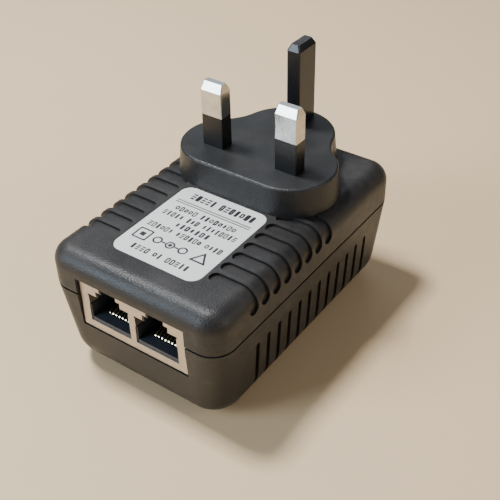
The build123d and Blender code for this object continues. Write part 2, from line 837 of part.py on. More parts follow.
def make_output_capacitors():
    """The two output reservoir capacitors."""
    cans = []
    for x in row_one_x[:2]:
        cans.append(can(x, row_one, output_capacitor_diameter, output_capacitor_height,
                        output_capacitor_pitch))
    return Compound(cans)


def make_output_inductor():
    """The output choke: a flanged ferrite drum and the copper wound on it."""
    x = row_one_x[2]
    low = board_under - inductor_height
    wound_low = low + inductor_flange
    wound_high = board_under - inductor_flange
    core = joined([post(x, row_one, low, wound_low, inductor_diameter),
                   post(x, row_one, low, board_under, inductor_waist),
                   post(x, row_one, wound_high, board_under, inductor_diameter),
                   through_lead(x - inductor_waist / 2, row_one),
                   through_lead(x + inductor_waist / 2, row_one)])
    winding = post(x, row_one, wound_low, wound_high, inductor_diameter - 2 * inductor_wire_inset)
    winding = winding - post(x, row_one, low, board_under, inductor_waist)
    return core, winding


def axial_leads(x, z, y, half_length, overlap):
    """The bent leads of a part lying along Y."""
    leads = []
    for side in (-1, 1):
        y_end = y + side * (half_length + lead_diameter)
        y_start = y + side * (half_length - overlap)
        leads.append(rod_y(x, z, min(y_start, y_end), max(y_start, y_end), lead_diameter))
        leads.append(through_lead(x, y_end, low=z))
    return leads


def make_output_diode():
    """The output rectifier, lying along Y under the board."""
    x = row_one_x[3]
    z = board_under - diode_diameter / 2
    half = diode_length / 2
    body = rod_y(x, z, row_one - half, row_one + half, diode_diameter)
    body = fillet(body.edges(), diode_edge_radius)
    return joined([body] + axial_leads(x, z, row_one, half, 1.0))


def make_transformer():
    """The power transformer: two ferrite halves, a bobbin with its pins, and the winding."""
    x = row_two_x[0]
    high = board_under - transformer_gap
    low = high - core_height
    middle = (low + high) / 2
    window_low = low + core_yoke
    window_high = high - core_yoke
    window_out = core_width / 2 - core_outer_leg
    outer = block_at(x, row_two, core_width, core_thickness, low, high)
    for side in (-1, 1):
        edges = sorted([x + side * core_leg / 2, x + side * window_out])
        outer = outer - bar(edges[0], edges[1], row_two - core_width, row_two + core_width,
                            window_low, window_high)
    halves = [outer & block_at(x, row_two, core_width, core_width, low, middle),
              outer & block_at(x, row_two, core_width, core_width, middle, high)]

    tube_width = core_leg + 2 * (fit_gap + bobbin_wall)
    tube_length = core_thickness + 2 * (fit_gap + bobbin_wall)
    flange_width = 2 * (window_out - fit_gap)
    bottom = window_low + fit_gap
    top = window_high - fit_gap
    parts = [block_at(x, row_two, tube_width, tube_length, bottom, top)]
    parts.append(block_at(x, row_two, flange_width, bobbin_depth, bottom, bottom + bobbin_flange))
    parts.append(block_at(x, row_two, flange_width, bobbin_depth, top - bobbin_flange, top))
    for side in (-1, 1):
        y = row_two + side * (bobbin_depth - bobbin_rail) / 2
        parts.append(block_at(x, y, flange_width, bobbin_rail, top - bobbin_flange, board_under))
        for number in range(bobbin_pin_count):
            pin_x = x + (number - (bobbin_pin_count - 1) / 2) * flange_width / bobbin_pin_count
            parts.append(through_lead(pin_x, y))
    bobbin = joined(parts)
    bobbin = bobbin - block_at(x, row_two, core_leg + 2 * fit_gap, core_thickness + 2 * fit_gap, low, high)
    winding = round_block(x, row_two, flange_width - 2 * winding_inset, bobbin_depth - 2 * winding_inset,
                          bottom + bobbin_flange, top - bobbin_flange, winding_corner)
    winding = winding - block_at(x, row_two, tube_width, tube_length, low, high)
    return Compound(halves), bobbin, winding


def make_switch_group():
    """The switching transistor screwed to its heat sink."""
    x_left = row_two_x[2] - sink_stack / 2
    sink_right = x_left + sink_thickness
    tab_right = sink_right + transistor_tab_thickness
    body_right = tab_right + transistor_body_thickness
    sink = bar(x_left, sink_right, row_two - sink_length / 2, row_two + sink_length / 2,
               board_under - sink_height, board_under)
    top = board_under - transistor_drop
    hole_z = top - transistor_tab_height + screw_diameter
    half = transistor_width / 2
    tab = bar(sink_right, tab_right, row_two - half, row_two + half, top - transistor_tab_height, top)
    body = bar(tab_right, body_right, row_two - half, row_two + half, top - transistor_body_height, top)
    leads = []
    for number in (-1, 0, 1):
        lead_x = tab_right + transistor_body_thickness / 2
        leads.append(through_lead(lead_x, row_two + number * transistor_pitch, low=top - 0.5))
    hole = rod_x(row_two, hole_z, x_left - 1, body_right + 1, screw_diameter + 2 * hole_gap)
    transistor = joined([tab, body] + leads) - hole
    tapped = rod_x(row_two, hole_z, x_left - 1, sink_right + 1, screw_diameter)
    head = rod_x(row_two, hole_z, tab_right, tab_right + screw_head_height, screw_head_diameter)
    head = fillet(head.faces().sort_by(Axis.X)[-1].edges(), screw_head_radius)
    shank = rod_x(row_two, hole_z, x_left - 1.0, tab_right + 0.1, screw_diameter)
    recess = Pos(tab_right + screw_head_height, row_two, hole_z) * Rot(0, 90, 0)
    cross = recess * (Box(screw_cross_length, screw_cross_width, 2 * screw_cross_depth)
                      + Box(screw_cross_width, screw_cross_length, 2 * screw_cross_depth))
    return sink - tapped, transistor, joined([head, shank]) - cross


def make_bulk_capacitor():
    """The mains reservoir capacitor and the printed sleeve shrunk on it."""
    x = row_three_x[0]
    body = can(x, row_three, bulk_diameter - 2 * bulk_sleeve_wall, bulk_height, bulk_pitch)
    low = board_under - bulk_height + bulk_sleeve_end
    high = board_under - bulk_sleeve_drop
    sleeve = post(x, row_three, low, high, bulk_diameter)
    return body, sleeve - post(x, row_three, low - 1, high + 1, bulk_diameter - 2 * bulk_sleeve_wall)


def make_fuse():
    """The mains fuse, lying along Y: its tube, and its two end caps with leads."""
    x = row_three_x[3]
    cap_diameter = fuse_diameter + 2 * fuse_cap_wall
    z = board_under - cap_diameter / 2
    half = fuse_length / 2
    tube = rod_y(x, z, row_three - half, row_three + half, fuse_diameter)
    leads = axial_leads(x, z, row_three, half + fuse_cap_wall, 0.0)
    caps = []
    for number, side in enumerate((-1, 1)):
        ends = sorted([row_three + side * (half - fuse_cap_length),
                       row_three + side * (half + fuse_cap_wall)])
        cap = rod_y(x, z, ends[0], ends[1], cap_diameter) - tube
        caps.append(joined([cap] + leads[2 * number:2 * number + 2]))
    return tube, Compound(caps)


def make_x_capacitor():
    """The boxed mains filter capacitor."""
    x = row_four_x[0]
    box = block_at(x, row_four, x_capacitor_width, x_capacitor_length,
                   board_under - x_capacitor_height, board_under)
    box = fillet(box.faces().sort_by(Axis.Z)[0].edges(), x_capacitor_edge_radius)
    leads = []
    for side in (-1, 1):
        leads.append(through_lead(x + side * (x_capacitor_width / 2 - x_capacitor_lead_inset), row_four))
    return joined([box] + leads)


def make_choke():
    """The mains choke: a ferrite ring and two windings on opposite sides."""
    x = row_four_x[1]
    radius = choke_diameter / 2 - choke_winding
    bore = choke_bore / 2
    z = board_under - choke_gap - choke_diameter / 2
    half = choke_length / 2 - choke_winding
    ring = rod_y(x, z, row_four - half, row_four + half, 2 * radius)
    ring = ring - rod_y(x, z, row_four - half - 1, row_four + half + 1, choke_bore)
    section = Plane.XY * Pos((bore + radius) / 2, 0) * RectangleRounded(
        radius - bore + 2 * choke_winding, choke_length, choke_winding)
    windings = []
    for side in (0, 180):
        turned = Rot(0, side - choke_winding_angle / 2, 0) * section
        wrap = revolve(turned, axis=Axis.Y, revolution_arc=choke_winding_angle)
        wrap = Pos(x, row_four, z) * wrap - ring
        lead_x = x + (1 if side == 0 else -1) * (bore + radius) / 2
        pair = []
        for y_side in (-1, 1):
            pair.append(through_lead(lead_x, row_four + y_side * (half + choke_winding / 2), low=z))
        windings.append(joined([wrap] + pair))
    return ring, Compound(windings)


def make_top_chips():
    """The controller chip and the chip resistors on the soldered side."""
    chip_x = row_two_x[0]
    chip = block_at(chip_x, row_two, chip_width, chip_length, board_top + chip_lift, board_top + chip_height)
    legs = []
    for number in range(chip_leg_count):
        y = row_two + (number - (chip_leg_count - 1) / 2) * chip_length / chip_leg_count
        legs.append(block_at(chip_x, y, chip_width + 2 * chip_leg_reach, chip_leg_width,
                             board_top, board_top + chip_leg_thickness))
    resistors = []
    gap = core_width / chip_resistor_count
    y = row_two_rear + part_gap / 2
    for number in range(chip_resistor_count):
        x = chip_x + (number - (chip_resistor_count - 1) / 2) * gap
        resistors.append(block_at(x, y, chip_resistor_width, chip_resistor_length,
                                  board_top, board_top + chip_resistor_height))
    return joined([chip] + legs), Compound(resistors)


def make_barrier_sheet():
    """The insulating sheet that keeps the output side apart from the mains side."""
    y = row_one_rear + part_gap / 2
    half = board_width / 2 - board_edge_margin
    return bar(-half, half, y - barrier_thickness / 2, y + barrier_thickness / 2,
               board_under - barrier_height, board_under)


def make_main_board():
    """The board, with a hole for every lead and a slot for every tab."""
    board = round_block(0, 0, board_width, board_length, board_under, board_top, board_corner)
    cuts = []
    for x, y, diameter in hole_list:
        cuts.append(post(x, y, board_under - 1, board_top + 1, diameter + 2 * hole_gap))
    for x, y, width, length in slot_list:
        cuts.append(block_at(x, y, width + 2 * hole_gap, length + 2 * hole_gap,
                             board_under - 1, board_top + 1))
    return board - cuts


def make_solder_joints():
    """A cone of solder round every round lead on the soldered side."""
    joints = []
    for x, y, diameter in hole_list:
        if diameter < peg_diameter:
            cone = Cone(diameter / 2 + solder_width, diameter / 2 + 0.1, solder_height)
            cone = Pos(x, y, board_top + solder_height / 2) * cone
            joints.append(cone - post(x, y, board_top - 1, lead_high + 1, diameter))
    return Compound(joints)


# ---------------------------------------------------------------- write every node

nodes = {
    "lower_cover": make_lower_cover(),
    "upper_cover": make_upper_cover(),
    "plug_base": make_plug_base(),
    "live_pin": make_pin(1),
    "neutral_pin": make_pin(-1),
    "live_pin_sleeve": make_sleeve(1),
    "neutral_pin_sleeve": make_sleeve(-1),
    "earth_pin": make_earth_pin(),
    "live_lead": make_lead(1),
    "neutral_lead": make_lead(-1),
    "rating_label": make_label(),
    "jack_shield": make_jack_shield(),
    "jack_housing": make_jack_housing(),
}
for name, middle in port_middles.items():
    nodes[name + "_port_contacts"] = make_port_contacts(middle)
    nodes[name + "_contact_legs"] = make_contact_legs(middle)
nodes["output_capacitors"] = make_output_capacitors()
nodes["output_inductor_core"], nodes["output_inductor_winding"] = make_output_inductor()
nodes["output_diode"] = make_output_diode()
nodes["transformer_core"], nodes["transformer_bobbin"], nodes["transformer_winding"] = make_transformer()
nodes["heat_sink"], nodes["switching_transistor"], nodes["transistor_screw"] = make_switch_group()
nodes["y_capacitor"] = disc(row_two_x[1], row_two, y_capacitor_diameter, y_capacitor_pitch)
nodes["bulk_capacitor"], nodes["bulk_capacitor_sleeve"] = make_bulk_capacitor()
nodes["bridge_rectifier"] = moulded_chip(row_three_x[1], row_three, bridge_width, bridge_length,
                                         bridge_height, bridge_pitch)
nodes["optocoupler"] = moulded_chip(row_three_x[2], row_three, opto_width, opto_length,
                                    opto_height, opto_pitch)
nodes["line_fuse"], nodes["fuse_caps"] = make_fuse()
nodes["x_capacitor"] = make_x_capacitor()
nodes["mains_choke_core"], nodes["mains_choke_windings"] = make_choke()
nodes["varistor"] = disc(row_four_x[2], row_four, varistor_diameter, varistor_pitch)
nodes["controller_chip"], nodes["chip_resistors"] = make_top_chips()
nodes["barrier_sheet"] = make_barrier_sheet()
nodes["main_board"] = make_main_board()
nodes["solder_joints"] = make_solder_joints()

os.makedirs("parts", exist_ok=True)
for name, shape in nodes.items():
    export_step(shape, "parts/" + name + ".step")
print(len(nodes), "nodes written")
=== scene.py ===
"""Finishes and sets out the plug-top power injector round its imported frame."""

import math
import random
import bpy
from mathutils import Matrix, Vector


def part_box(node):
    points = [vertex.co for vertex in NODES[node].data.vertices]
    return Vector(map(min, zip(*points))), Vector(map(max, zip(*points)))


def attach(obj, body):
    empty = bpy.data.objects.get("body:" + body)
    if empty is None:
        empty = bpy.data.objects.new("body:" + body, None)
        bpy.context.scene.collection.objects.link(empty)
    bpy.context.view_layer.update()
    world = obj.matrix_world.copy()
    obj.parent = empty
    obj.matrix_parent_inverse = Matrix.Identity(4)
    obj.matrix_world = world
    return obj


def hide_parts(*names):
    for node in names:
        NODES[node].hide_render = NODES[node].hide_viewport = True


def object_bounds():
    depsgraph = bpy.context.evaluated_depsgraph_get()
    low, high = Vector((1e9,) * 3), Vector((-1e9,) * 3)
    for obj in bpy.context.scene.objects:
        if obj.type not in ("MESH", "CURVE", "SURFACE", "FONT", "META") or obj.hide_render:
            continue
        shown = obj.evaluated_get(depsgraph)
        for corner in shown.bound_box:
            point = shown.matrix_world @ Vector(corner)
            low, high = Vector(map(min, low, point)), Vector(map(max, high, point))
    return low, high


bl_info = {
    "name": "Plug-top power injector",
    "version": (1, 0, 0),
    "blender": (4, 5, 0),
    "location": "3D View > Sidebar > Injector",
    "description": "Finishes, printed label, windings and stage for a plug-top power injector",
    "category": "Object",
}

import bmesh
import bpy
from bpy.props import (
    FloatProperty,
    FloatVectorProperty,
    IntProperty,
    PointerProperty,
)
from mathutils import Matrix, Vector

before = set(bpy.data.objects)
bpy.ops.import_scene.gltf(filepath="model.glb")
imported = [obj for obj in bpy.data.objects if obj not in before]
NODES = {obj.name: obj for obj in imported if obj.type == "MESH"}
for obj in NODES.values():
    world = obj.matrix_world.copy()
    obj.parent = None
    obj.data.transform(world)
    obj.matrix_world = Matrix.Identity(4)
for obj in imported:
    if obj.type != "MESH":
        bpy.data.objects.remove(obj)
CAD_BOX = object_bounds()
MM = 0.001
CASE_BODY = "case"


# ---------------------------------------------------------------- settings

def colour_setting(name, description, default):
    """A colour setting."""
    return FloatVectorProperty(name=name, description=description, default=default,
                               subtype="COLOR", size=3, min=0.0, max=1.0)


def number_setting(name, description, default, high=1.0):
    """A plain number setting from nought upwards."""
    return FloatProperty(name=name, description=description, default=default, min=0.0, max=high)


def length_setting(name, description, default):
    """A length setting, in metres."""
    return FloatProperty(name=name, description=description, default=default,
                         unit="LENGTH", subtype="DISTANCE", precision=5)


def power_setting(name, description, default):
    """A light's power setting, in watts."""
    return FloatProperty(name=name, description=description, default=default, min=0.0, unit="POWER")


def angle_setting(name, description, degrees):
    """An angle setting."""
    return FloatProperty(name=name, description=description, default=math.radians(degrees),
                         subtype="ANGLE")


class CaseSettings(bpy.types.PropertyGroup):
    """Colours and grain of the black mouldings."""

    case_colour: colour_setting("Case colour", "Colour of the two covers", (0.0175, 0.0160, 0.0152))
    plug_colour: colour_setting("Plug colour", "Colour of the plug moulding", (0.0165, 0.0165, 0.0168))
    earth_colour: colour_setting("Earth pin colour", "Colour of the earth pin", (0.014, 0.0142, 0.0155))
    case_roughness: number_setting("Case roughness", "Roughness of the covers", 0.43)
    plug_roughness: number_setting("Plug roughness", "Roughness of the plug moulding", 0.40)
    earth_roughness: number_setting("Earth pin roughness", "Roughness of the earth pin", 0.20)
    grain_size: length_setting("Grain size", "Width of one pit of the moulded grain", 0.00032)
    grain_depth: number_setting("Grain depth", "Strength of the moulded grain", 0.42)
    dust_amount: number_setting("Dust", "How much fine dust lies on upward faces", 0.22)


class MetalSettings(bpy.types.PropertyGroup):
    """Colours of the metal pieces."""

    pin_colour: colour_setting("Pin colour", "Nickel plating on the pins", (0.61, 0.59, 0.555))
    shield_colour: colour_setting("Shield colour", "Dull nickel on the socket shield", (0.58, 0.515, 0.45))
    contact_colour: colour_setting("Contact colour", "Gold flash on the contacts", (0.93, 0.76, 0.46))
    pin_roughness: number_setting("Pin roughness", "Roughness of the pins", 0.15)
    shield_roughness: number_setting("Shield roughness", "Roughness of the shield", 0.42)


class LabelSettings(bpy.types.PropertyGroup):
    """The rating label and the marks printed on it."""

    paper_colour: colour_setting("Label colour", "Matt silver-white of the label", (0.80, 0.785, 0.75))
    ink_colour: colour_setting("Ink colour", "Black of the print", (0.012, 0.012, 0.014))
    ink_thickness: length_setting("Ink thickness", "How far the print stands off the label", 0.000012)
    side_margin: length_setting("Side margin", "Label's edge to the print", 0.0016)
    title_height: length_setting("Title height", "Height of the title's marks", 0.0026)
    text_height: length_setting("Text height", "Height of the small marks", 0.0020)
    title_weight: number_setting("Title weight", "Stroke of the title's marks, against their pitch", 0.60)
    text_weight: number_setting("Text weight", "Stroke of the small marks, against their pitch", 0.50)
    rule_thickness: length_setting("Rule thickness", "Thickness of the two rules", 0.00030)
    symbol_line: length_setting("Symbol line", "Line of the plain shapes", 0.00046)
    seed: IntProperty(name="Seed", description="Order of the marks' widths", default=11, min=0)


class WindingSettings(bpy.types.PropertyGroup):
    """The copper windings inside the case."""

    wire_colour: colour_setting("Wire colour", "Enamelled copper", (0.62, 0.24, 0.08))
    choke_wire: length_setting("Choke wire", "Thickness of the choke's wire", 0.00075)
    inductor_wire: length_setting("Inductor wire", "Thickness of the inductor's wire", 0.0006)
    lead_wire: length_setting("Lead wire", "Thickness of the leads through the board", 0.0007)
    choke_bore: length_setting("Choke bore", "Bore of the choke's ring", 0.007)
    choke_sweep: angle_setting("Choke sweep", "How far each winding goes round the ring", 115.0)


class StageSettings(bpy.types.PropertyGroup):
    """Floor, lights and camera."""

    floor_colour: colour_setting("Floor colour", "Pale floor", (0.80, 0.585, 0.345))
    key_power: power_setting("Key light", "Power of the key light", 6.0)
    fill_power: power_setting("Fill light", "Power of the fill light", 5.4)
    back_power: power_setting("Back light", "Power of the light behind", 0.45)
    side_power: power_setting("Side light", "Power of the light on the right", 1.2)
    sky_strength: number_setting("Sky strength", "Brightness of the surroundings", 0.13, 10.0)
    lens: FloatProperty(name="Lens", description="Focal length of the camera", default=64.8, unit="CAMERA")
    camera_place: FloatVectorProperty(name="Camera place", description="Where the camera stands",
                                      default=(0.11365, -0.14693, 0.16461),
                                      subtype="TRANSLATION", unit="LENGTH")
    azimuth: angle_setting("Azimuth", "Turn of the view from straight on", 36.18)
    elevation: angle_setting("Elevation", "How steeply the camera looks down", 37.99)
    roll: angle_setting("Roll", "Tilt of the camera about its line of sight", 1.41)


SETTINGS = {
    "injector_case": CaseSettings,
    "injector_metal": MetalSettings,
    "injector_label": LabelSettings,
    "injector_winding": WindingSettings,
    "injector_stage": StageSettings,
}


# ---------------------------------------------------------------- shader building

def group_base(name, inputs, outputs):
    """A new shader node group with named float inputs and outputs."""
    group = bpy.data.node_groups.new(name, "ShaderNodeTree")
    for socket, value in inputs.items():
        made = group.interface.new_socket(name=socket, in_out="INPUT", socket_type="NodeSocketFloat")
        made.default_value = value
    for socket in outputs:
        group.interface.new_socket(name=socket, in_out="OUTPUT", socket_type="NodeSocketFloat")
    inside = group.nodes.new("NodeGroupInput")
    outside = group.nodes.new("NodeGroupOutput")
    return group, inside, outside


def math_node(tree, operation, first, second, clamp=False):
    """A Math node in a shader or geometry tree, fed by sockets or numbers. Gives its output socket."""
    node = tree.nodes.new("ShaderNodeMath")
    node.operation = operation
    node.use_clamp = clamp
    for number, value in enumerate((first, second)):
        if isinstance(value, (int, float)):
            node.inputs[number].default_value = value
        else:
            tree.links.new(value, node.inputs[number])
    return node.outputs[0]


def noise_node(tree, vector, scale, detail=3.0, roughness=0.55):
    """A 3D noise on the given coordinates. Gives its value socket."""
    node = tree.nodes.new("ShaderNodeTexNoise")
    node.inputs["Detail"].default_value = detail
    node.inputs["Roughness"].default_value = roughness
    if isinstance(scale, (int, float)):
        node.inputs["Scale"].default_value = scale
    else:
        tree.links.new(scale, node.inputs["Scale"])
    tree.links.new(vector, node.inputs["Vector"])
    return node.outputs["Fac"]


def remap(tree, value, low, high, out_low=0.0, out_high=1.0):
    """A clamped Map Range. Gives its output socket."""
    node = tree.nodes.new("ShaderNodeMapRange")
    node.inputs["From Min"].default_value = low
    node.inputs["From Max"].default_value = high
    node.inputs["To Min"].default_value = out_low
    node.inputs["To Max"].default_value = out_high
    tree.links.new(value, node.inputs["Value"])
    return node.outputs["Result"]


def object_coordinates(tree, stretch=None):
    """Object coordinates, stretched along the axes if asked."""
    source = tree.nodes.new("ShaderNodeTexCoord").outputs["Object"]
    if stretch is None:
        return source
    mapping = tree.nodes.new("ShaderNodeMapping")
    mapping.inputs["Scale"].default_value = stretch
    tree.links.new(source, mapping.inputs["Vector"])
    return mapping.outputs["Vector"]


def make_grain_group():
    """Spark-eroded moulding grain: pits and a slow sheen change."""
    group, inside, outside = group_base("moulded_grain", {"Pit Size": 0.0002, "Sheen Size": 0.02},
                                        ("Height", "Sheen"))
    place = object_coordinates(group)
    pits = group.nodes.new("ShaderNodeTexVoronoi")
    pits.feature = "SMOOTH_F1"
    pit_scale = math_node(group, "DIVIDE", 1.0, inside.outputs["Pit Size"])
    group.links.new(pit_scale, pits.inputs["Scale"])
    group.links.new(place, pits.inputs["Vector"])
    fine = noise_node(group, place, math_node(group, "MULTIPLY", pit_scale, 0.7), 2.0)
    height = math_node(group, "ADD", pits.outputs["Distance"], math_node(group, "MULTIPLY", fine, 0.8))
    group.links.new(height, outside.inputs["Height"])
    slow = noise_node(group, place, math_node(group, "DIVIDE", 1.0, inside.outputs["Sheen Size"]), 4.0)
    group.links.new(remap(group, slow, 0.3, 0.7), outside.inputs["Sheen"])
    return group


def make_dust_group():
    """Fine dust on faces that look up, gathered in specks and soft patches."""
    group, inside, outside = group_base("settled_dust", {"Amount": 0.3}, ("Mask",))
    place = object_coordinates(group)
    normal = group.nodes.new("ShaderNodeNewGeometry").outputs["Normal"]
    split = group.nodes.new("ShaderNodeSeparateXYZ")
    group.links.new(normal, split.inputs["Vector"])
    upward = remap(group, split.outputs["Z"], 0.35, 1.0)
    patches = remap(group, noise_node(group, place, 90.0, 5.0), 0.42, 0.75)
    specks = group.nodes.new("ShaderNodeTexVoronoi")
    specks.inputs["Scale"].default_value = 900.0
    group.links.new(place, specks.inputs["Vector"])
    speck = remap(group, specks.outputs["Distance"], 0.10, 0.04)
    thin = remap(group, noise_node(group, place, 260.0, 2.0), 0.52, 0.60)
    speck = math_node(group, "MULTIPLY", speck, thin)
    soft = math_node(group, "MULTIPLY", patches, 0.28)
    both = math_node(group, "MAXIMUM", speck, soft)
    mask = math_node(group, "MULTIPLY", both, upward)
    mask = math_node(group, "MULTIPLY", mask, inside.outputs["Amount"], clamp=True)
    group.links.new(mask, outside.inputs["Mask"])
    return group


def make_wear_group():
    """Rubbed edges: where the surface turns sharply outwards, broken up by noise."""
    group, inside, outside = group_base("rubbed_edges", {"Amount": 0.5, "Patch Size": 0.003}, ("Mask",))
    place = object_coordinates(group)
    sharp = group.nodes.new("ShaderNodeNewGeometry").outputs["Pointiness"]
    edge = remap(group, sharp, 0.505, 0.56)
    patch = noise_node(group, place, math_node(group, "DIVIDE", 1.0, inside.outputs["Patch Size"]), 4.0)
    broken = remap(group, patch, 0.38, 0.68)
    mask = math_node(group, "MULTIPLY", edge, broken)
    mask = math_node(group, "MULTIPLY", mask, inside.outputs["Amount"], clamp=True)
    group.links.new(mask, outside.inputs["Mask"])
    return group


def make_brushed_group():
    """Fine parallel scratches along Z with a few blotches."""
    group, inside, outside = group_base("brushed_lines", {"Line Size": 0.0002}, ("Lines", "Blotches"))
    streaks = object_coordinates(group, (1.0, 1.0, 0.04))
    scale = math_node(group, "DIVIDE", 1.0, inside.outputs["Line Size"])
    lines = noise_node(group, streaks, scale, 2.0)
    group.links.new(lines, outside.inputs["Lines"])
    blotches = noise_node(group, object_coordinates(group), 420.0, 4.0)
    group.links.new(remap(group, blotches, 0.35, 0.7), outside.inputs["Blotches"])
    return group


SHADER_GROUPS = {}


def shader_group(name):
    """The shared node group of that name, built the first time it is asked for."""
    makers = {
        "moulded_grain": make_grain_group,
        "settled_dust": make_dust_group,
        "rubbed_edges": make_wear_group,
        "brushed_lines": make_brushed_group,
    }
    if name not in SHADER_GROUPS:
        SHADER_GROUPS[name] = makers[name]()
    return SHADER_GROUPS[name]


def place_group(tree, name, **values):
    """Puts a shared group in a material and sets its inputs."""
    node = tree.nodes.new("ShaderNodeGroup")
    node.node_tree = shader_group(name)
    for socket, value in values.items():
        node.inputs[socket.replace("_", " ").title()].default_value = value
    return node


def start_material(name):
    """A material with an empty Principled shader. Gives material, tree and shader."""
    material = bpy.data.materials.new(name)
    material.use_nodes = True
    tree = material.node_tree
    shader = tree.nodes["Principled BSDF"]
    return material, tree, shader


def mix_colours(tree, factor, first, second):
    """A colour mix of two constant colours or sockets by a mask."""
    node = tree.nodes.new("ShaderNodeMix")
    node.data_type = "RGBA"
    tree.links.new(factor, node.inputs["Factor"])
    for socket, value in (("A", first), ("B", second)):
        target = [s for s in node.inputs if s.name == socket and s.type == "RGBA"][0]
        if isinstance(value, bpy.types.NodeSocket):
            tree.links.new(value, target)
        else:
            target.default_value = (*value, 1.0)
    return [s for s in node.outputs if s.type == "RGBA"][0]


def bump(tree, shader, height, strength, distance):
    """Feeds a height into the shader's normal."""
    node = tree.nodes.new("ShaderNodeBump")
    node.inputs["Strength"].default_value = strength
    node.inputs["Distance"].default_value = distance
    tree.links.new(height, node.inputs["Height"])
    tree.links.new(node.outputs["Normal"], shader.inputs["Normal"])


def scaled(values, factor):
    """A colour made lighter or darker."""
    return tuple(min(1.0, value * factor) for value in values)


DUST_TINT = (0.32, 0.30, 0.27)
DUST_ROUGHENS = 0.35
RUBBING_SMOOTHS = 0.16
RUBBED_BRIGHTER = 3.2           # rubbed edges against the moulding's own colour
SHEEN_SIZE = 0.016
RUBBED_PATCH = 0.0025
PLASTIC_SPECULAR = 0.40


def moulded_plastic(name, tint, roughness, grain_size, grain_depth, dust, wear=0.35):
    """Black moulded plastic with eroded grain, rubbed edges and a little dust."""
    material, tree, shader = start_material(name)
    grain = place_group(tree, "moulded_grain", pit_size=grain_size, sheen_size=SHEEN_SIZE)
    rubbed = place_group(tree, "rubbed_edges", amount=wear, patch_size=RUBBED_PATCH)
    settled = place_group(tree, "settled_dust", amount=dust)
    tone = mix_colours(tree, grain.outputs["Sheen"], scaled(tint, 0.82), scaled(tint, 1.22))
    tone = mix_colours(tree, rubbed.outputs["Mask"], tone, scaled(tint, RUBBED_BRIGHTER))
    tone = mix_colours(tree, settled.outputs["Mask"], tone, DUST_TINT)
    tree.links.new(tone, shader.inputs["Base Color"])
    rough = remap(tree, grain.outputs["Sheen"], 0.0, 1.0, roughness - 0.05, roughness + 0.06)
    dusted = math_node(tree, "MULTIPLY", settled.outputs["Mask"], DUST_ROUGHENS)
    smoothed = math_node(tree, "MULTIPLY", rubbed.outputs["Mask"], RUBBING_SMOOTHS)
    rough = math_node(tree, "SUBTRACT", math_node(tree, "ADD", rough, dusted), smoothed)
    tree.links.new(rough, shader.inputs["Roughness"])
    bump(tree, shader, grain.outputs["Height"], grain_depth, grain_size * 0.5)
    shader.inputs["Specular IOR Level"].default_value = PLASTIC_SPECULAR
    return material


def plated_metal(name, tint, roughness, line_size, line_depth, blotch=0.10):
    """Plated metal with drawn lines and slightly uneven plating."""
    material, tree, shader = start_material(name)
    lines = place_group(tree, "brushed_lines", line_size=line_size)
    rubbed = place_group(tree, "rubbed_edges", amount=0.7, patch_size=0.0012)
    dull = scaled(tint, 1.0 - blotch)
    bright = scaled(tint, 1.0 + blotch * 0.5)
    tone = mix_colours(tree, lines.outputs["Blotches"], dull, bright)
    tone = mix_colours(tree, rubbed.outputs["Mask"], tone, scaled(tint, 1.12))
    tree.links.new(tone, shader.inputs["Base Color"])
    rough = remap(tree, lines.outputs["Lines"], 0.3, 0.7, roughness - 0.06, roughness + 0.08)
    tree.links.new(rough, shader.inputs["Roughness"])
    shader.inputs["Metallic"].default_value = 1.0
    bump(tree, shader, lines.outputs["Lines"], line_depth, line_size * 0.4)
    return material


def dipped_finish(name, tint, roughness, lump_size=0.0012, lump_depth=0.12, metal=0.0):
    """A smooth inner part's finish: slight lumps, tone changes and handling marks."""
    material, tree, shader = start_material(name)
    place = object_coordinates(tree)
    lumps = noise_node(tree, place, 1.0 / lump_size, 3.0)
    tone = mix_colours(tree, remap(tree, lumps, 0.3, 0.7), scaled(tint, 0.84), scaled(tint, 1.14))
    tree.links.new(tone, shader.inputs["Base Color"])
    marks = noise_node(tree, place, 900.0, 5.0, 0.7)
    rough = remap(tree, marks, 0.3, 0.75, roughness - 0.05, roughness + 0.12)
    tree.links.new(rough, shader.inputs["Roughness"])
    shader.inputs["Metallic"].default_value = metal
    bump(tree, shader, lumps, lump_depth, lump_size * 0.1)
    return material


def label_paper(settings):
    """Matt silver-white film with a very fine metallic mottle."""
    material, tree, shader = start_material("label_film")
    place = object_coordinates(tree)
    mottle = noise_node(tree, place, 5200.0, 2.0, 0.7)
    slow = noise_node(tree, place, 120.0, 3.0)
    tone = mix_colours(tree, remap(tree, mottle, 0.3, 0.7),
                       scaled(settings.paper_colour, 0.90), scaled(settings.paper_colour, 1.08))
    tone = mix_colours(tree, remap(tree, slow, 0.45, 0.85), tone, scaled(settings.paper_colour, 0.93))
    tree.links.new(tone, shader.inputs["Base Color"])
    tree.links.new(remap(tree, slow, 0.3, 0.7, 0.42, 0.54), shader.inputs["Roughness"])
    shader.inputs["Metallic"].default_value = 0.12
    bump(tree, shader, mottle, 0.10, 0.00002)
    return material


def add_object(name, data):
    """Puts a mesh, light or camera in the scene as an object of that name."""
    made = bpy.data.objects.new(name, data)
    bpy.context.scene.collection.objects.link(made)
    return made


def put_on(material, *names):
    """Gives CAD nodes a material."""
    for name in names:
        mesh = NODES[name].data
        mesh.materials.clear()
        mesh.materials.append(material)


# ---------------------------------------------------------------- mesh building

def piece_from(name, geometry, material, body):
    """A finished piece from a bmesh: outward faces, one material, riding on a body."""
    bmesh.ops.recalc_face_normals(geometry, faces=geometry.faces)
    mesh = bpy.data.meshes.new(name)
    geometry.to_mesh(mesh)
    geometry.free()
    mesh.materials.append(material)
    piece = add_object(name, mesh)
    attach(piece, body)
    return piece


